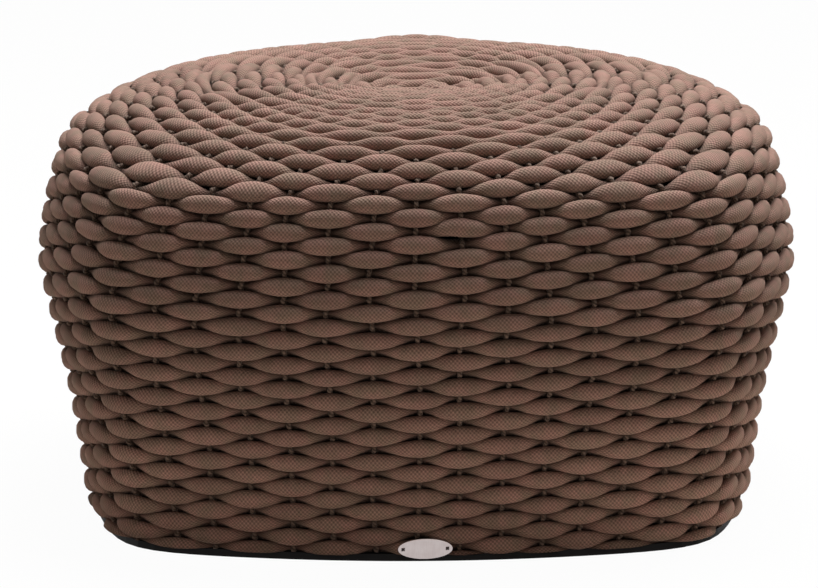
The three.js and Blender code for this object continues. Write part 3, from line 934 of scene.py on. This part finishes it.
def brushed_tag_metal():
    """Anodised aluminium, brushed up and down: pale, slightly rosy, with fine upright strokes."""
    finish, tree, shader = blank_finish("brushed_anodised_aluminium", "#c4bab9", 0.42, metallic=1)
    where = add_node(tree, "ShaderNodeTexCoord")
    stretch = add_node(tree, "ShaderNodeMapping", {"Scale": STROKE_SCALES}, {0: where.outputs["Object"]})
    strokes = add_node(tree, "ShaderNodeTexNoise", {"Scale": 1, "Detail": 2}, {0: stretch.outputs[0]})
    cloud = add_node(tree, "ShaderNodeTexNoise", {"Scale": 1 / CLOUD_SIZE, "Detail": 3},
                     {0: where.outputs["Object"]})
    tone = add_node(tree, "ShaderNodeMix", {"data_type": "RGBA", 6: linear("#bdb3b3"), 7: linear("#d3cbca")},
                    {0: strokes.outputs[0]})
    handled = add_node(tree, "ShaderNodeMix",
                       {"data_type": "RGBA", "blend_type": "MULTIPLY", 7: linear("#e8e2e0")},
                       {0: cloud.outputs[0], 6: tone.outputs[2]})
    rough = add_node(tree, "ShaderNodeMapRange", STROKE_ROUGHNESS, {0: strokes.outputs[0]})
    bump = add_node(tree, "ShaderNodeBump", {"Strength": 0.2, "Distance": STROKE_RELIEF},
                    {"Height": strokes.outputs[0]})
    join(tree, shader,
         {"Base Color": handled.outputs[2], "Roughness": rough.outputs[0], "Normal": bump.outputs[0]})
    return finish


# Twist of the sewing thread, coarse enough to show
THREAD_TWIST = 3 * MM


def sewing_thread():
    """Bonded nylon thread: very dark brown, with the slanted lines of its twist."""
    finish, tree, shader = blank_finish("bonded_nylon_thread", "#231a1d", 0.6)
    where = add_node(tree, "ShaderNodeTexCoord")
    twist = add_node(tree, "ShaderNodeTexWave", {"Scale": 1 / THREAD_TWIST, "bands_direction": "DIAGONAL"},
                     {0: where.outputs["Object"]})
    tone = add_node(tree, "ShaderNodeMix", {"data_type": "RGBA", 6: linear("#1b1416"), 7: linear("#332729")},
                    {0: twist.outputs[0]})
    join(tree, shader, {"Base Color": tone.outputs[2]})
    return finish


def tag_place():
    """What places a point of the tag, given across, up and out of the tag's back."""
    rises = OUTER_OUTLINE["rise"][:SIDE_STEPS]
    reach = np.interp(TAG_CENTRE_HEIGHT, rises, OUTER_OUTLINE["reach"][:SIDE_STEPS])
    lean = OUTER_OUTLINE["lean"]
    outward = np.array([0, -math.cos(lean), -math.sin(lean)])
    upward = np.array([0, -math.sin(lean), math.cos(lean)])
    rightward = np.array([1, 0, 0])
    centre = np.array([TAG_ASIDE, -reach, TAG_CENTRE_HEIGHT]) + FIT_GAP * outward
    sideways = math.cos(TAG_TILT) * rightward + math.sin(TAG_TILT) * upward
    upright = -math.sin(TAG_TILT) * rightward + math.cos(TAG_TILT) * upward
    return lambda across, up, out: centre + across * sideways + up * upright + out * outward


def flat_oval(outline, middle, half_width, half_height, segments):
    """A closed oval line of a flat outline, its middle given across."""
    oval = outline.splines.new("POLY")
    oval.points.add(segments - 1)
    for number in range(segments):
        angle = number * 2 * math.pi / segments
        across = middle + half_width * math.cos(angle)
        oval.points[number].co = (across * MM, half_height * math.sin(angle) * MM, 0, 1)
    oval.use_cyclic_u = True


def oval_tag(finish):
    """A thin oval plate with eased edges, a hole at each end and a bare face."""
    outline = bpy.data.curves.new("oval_tag", "CURVE")
    outline.dimensions = "2D"
    outline.fill_mode = "BOTH"
    outline.extrude = (TAG_THICKNESS / 2 - TAG_EDGE) * MM
    outline.bevel_depth = TAG_EDGE * MM
    outline.bevel_resolution = TAG_EDGE_STEPS
    flat_oval(outline, 0, TAG_WIDTH / 2 - TAG_EDGE, TAG_HEIGHT / 2 - TAG_EDGE, TAG_SEGMENTS)
    hole_radius = TAG_HOLE_DIAMETER / 2 + TAG_EDGE
    for side in (-1, 1):
        flat_oval(outline, side * TAG_HOLE_SPACING / 2, hole_radius, hole_radius, TAG_HOLE_SEGMENTS)
    flat = bpy.data.objects.new("tag_outline", outline)
    bpy.context.scene.collection.objects.link(flat)
    bpy.context.view_layer.update()
    mesh = bpy.data.meshes.new_from_object(flat.evaluated_get(bpy.context.evaluated_depsgraph_get()))
    bpy.data.objects.remove(flat)
    place = tag_place()
    for vertex in mesh.vertices:
        across, up, out = (part / MM for part in vertex.co)
        vertex.co = Vector(place(across, up, out + TAG_THICKNESS / 2) * MM)
    mesh.name = "oval_tag"
    mesh.materials.clear()
    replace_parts(new_piece("oval_tag", mesh, finish), "tag")


def thread_arch(side, way):
    """Rings and lengths of one short thread that comes out of the tag's hole, crosses it and goes back."""
    place = tag_place()
    steps = np.linspace(-1, 1, THREAD_STEPS)
    slant = THREAD_SLANT * way
    middle = place(0, 0, 0)
    outward = place(0, 0, 1) - middle
    beside = place(-math.sin(slant), math.cos(slant), 0) - middle
    lift = TAG_THICKNESS - THREAD_SINK + THREAD_CROSSING_RISE * max(way, 0)
    rings = []
    for step in steps:
        along = THREAD_REACH / 2 * step
        across = side * TAG_HOLE_SPACING / 2 + along * math.cos(slant)
        rise = THREAD_RISE * (1 - step ** THREAD_ARCH_POWER)
        centre = place(across, along * math.sin(slant), lift + rise)
        ring = []
        for corner in range(WARP_SIDES):
            angle = corner * 2 * math.pi / WARP_SIDES
            ring.append(centre + THREAD_DIAMETER / 2 * (math.cos(angle) * beside + math.sin(angle) * outward))
        rings.append(ring)
    return np.array(rings), (steps + 1) * THREAD_REACH / 2


def tag_stitches(finish):
    """A cross of thread through each of the tag's holes."""
    for side, name in ((-1, "left"), (1, "right")):
        threads = [thread_arch(side, way) for way in (-1, 1)]
        piece = joined_tubes(f"cross_stitch_{name}", threads, finish)
        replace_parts(piece, f"tag_stitch_{name}")


def finish_frame_nodes():
    """Materials for the pieces that keep their own solids: the frame's own, unless a name says more."""
    finishes = {
        "frame": powder_coated_aluminium(),
        "board": moulded_plastic("moulded_polypropylene_board", "#0b0a0a", "#161415", 0.6, 0.12),
        "glide": moulded_plastic("moulded_polypropylene_glide", "#1c1c1d", "#303031", 0.5, 0.5),
        "screw": zinc_plated_steel(),
    }
    for name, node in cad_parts.items():
        kind = next((word for word in finishes if word in name), "frame")
        for slot in node.material_slots:
            slot.material = finishes[kind]


def camera_or_mirror(tree):
    """One where a ray comes from the camera or a reflection, and nought otherwise."""
    path = add_node(tree, "ShaderNodeLightPath")
    seen = add_node(tree, "ShaderNodeMath", {"operation": "MAXIMUM"},
                    {0: path.outputs["Is Camera Ray"], 1: path.outputs["Is Glossy Ray"]})
    return add_node(tree, "ShaderNodeMath", {"operation": "MAXIMUM"},
                    {0: seen.outputs[0], 1: path.outputs["Is Transmission Ray"]})


FLOOR_SIZE = 30000
FLOOR_GLOW_SHARE = 0.97


def white_floor():
    """A floor that looks white to the camera and in reflections, and keeps the footstool's shadow."""
    mesh = bpy.data.meshes.new("floor")
    half = FLOOR_SIZE / 2 * MM
    corners = [(across * half, deep * half, 0) for across, deep in ((-1, -1), (1, -1), (1, 1), (-1, 1))]
    mesh.from_pydata(corners, [], [(0, 1, 2, 3)])
    floor = bpy.data.objects.new("floor", mesh)
    bpy.context.scene.collection.objects.link(floor)
    finish, tree, shader = blank_finish("painted_studio_floor", "#d6cbbf", 0.9)
    glow = add_node(tree, "ShaderNodeEmission", {"Color": linear("#ffffff"), "Strength": 1})
    matt = add_node(tree, "ShaderNodeBsdfDiffuse", {"Color": linear("#f4f4f4")})
    seen_floor = add_node(tree, "ShaderNodeMixShader", {0: FLOOR_GLOW_SHARE},
                          {1: matt.outputs[0], 2: glow.outputs[0]})
    either = add_node(tree, "ShaderNodeMixShader", links={
        0: camera_or_mirror(tree).outputs[0], 1: shader.outputs[0], 2: seen_floor.outputs[0]})
    join(tree, tree.nodes["Material Output"], {"Surface": either.outputs[0]})
    floor.data.materials.append(finish)


# Lamps: places and sizes in metres, powers in watts
WORLD_STRENGTH = 0.05
OVERHEAD_PLACE = (0.4, 0.65, 2.7)
OVERHEAD_SIZE = 2.2
OVERHEAD_POWER = 120
FRONT_PLACE = (0.2, -3, 0.5)
FRONT_SIZE = 1.6
FRONT_POWER = 3


def studio_world():
    """A dim warm room that looks white to the camera and in reflections."""
    world = bpy.data.worlds.new("studio")
    bpy.context.scene.world = world
    world.use_nodes = True
    tree = world.node_tree
    strength = add_node(tree, "ShaderNodeMapRange", {"To Min": WORLD_STRENGTH, "To Max": 1},
                        {0: camera_or_mirror(tree).outputs[0]})
    background = tree.nodes["Background"]
    background.inputs["Color"].default_value = linear("#fff8f0")
    join(tree, background, {"Strength": strength.outputs[0]})


def facing_turn(place, target):
    """The turn of a lamp or a camera at a place that looks at a target."""
    return (Vector(target) - Vector(place)).to_track_quat("-Z", "Y")


def soft_box(name, place, size, power, colour):
    """A square soft lamp that looks at the footstool."""
    lamp = bpy.data.lights.new(name, "AREA")
    lamp.size = size
    lamp.energy = power
    lamp.color = linear(colour)[:3]
    holder = bpy.data.objects.new(name, lamp)
    holder.location = place
    holder.rotation_euler = facing_turn(place, (0, 0, HEIGHT / 2 * MM)).to_euler()
    bpy.context.scene.collection.objects.link(holder)


def studio_light():
    """A large lamp above and a weak one in front, shown without a film curve."""
    studio_world()
    soft_box("overhead_box", OVERHEAD_PLACE, OVERHEAD_SIZE, OVERHEAD_POWER, "#fffdfb")
    soft_box("front_box", FRONT_PLACE, FRONT_SIZE, FRONT_POWER, "#ffeedd")
    bpy.context.scene.view_settings.view_transform = "Standard"


def studio_camera():
    """The photograph's camera: a long lens a little above the top."""
    lens = bpy.data.cameras.new("camera")
    lens.sensor_width = SENSOR_WIDTH
    lens.lens = SENSOR_WIDTH * FOCAL_PIXELS / IMAGE_WIDTH
    lens.shift_x, lens.shift_y = (shift / IMAGE_WIDTH for shift in CAMERA_SHIFT_PIXELS)
    lens.clip_end = CAMERA_SIGHT * MM
    camera = bpy.data.objects.new("camera", lens)
    bpy.context.scene.collection.objects.link(camera)
    back = CAMERA_DISTANCE * math.cos(CAMERA_ELEVATION)
    height = CAMERA_TARGET_HEIGHT + CAMERA_DISTANCE * math.sin(CAMERA_ELEVATION)
    camera.location = (0, -back * MM, height * MM)
    turn = facing_turn(camera.location, (0, 0, CAMERA_TARGET_HEIGHT * MM)).to_matrix().to_4x4()
    camera.rotation_euler = (turn @ Matrix.Rotation(CAMERA_ROLL, 4, "Z")).to_euler()
    bpy.context.scene.camera = camera


studio_camera()
studio_light()
white_floor()
braid = braided_polyester()
for cord_number, cord_letter in enumerate(CORD_LETTERS):
    woven_cord(cord_number, cord_letter, braid)
upright_cords(twisted_twine())
oval_tag(brushed_tag_metal())
tag_stitches(sewing_thread())
finish_frame_nodes()
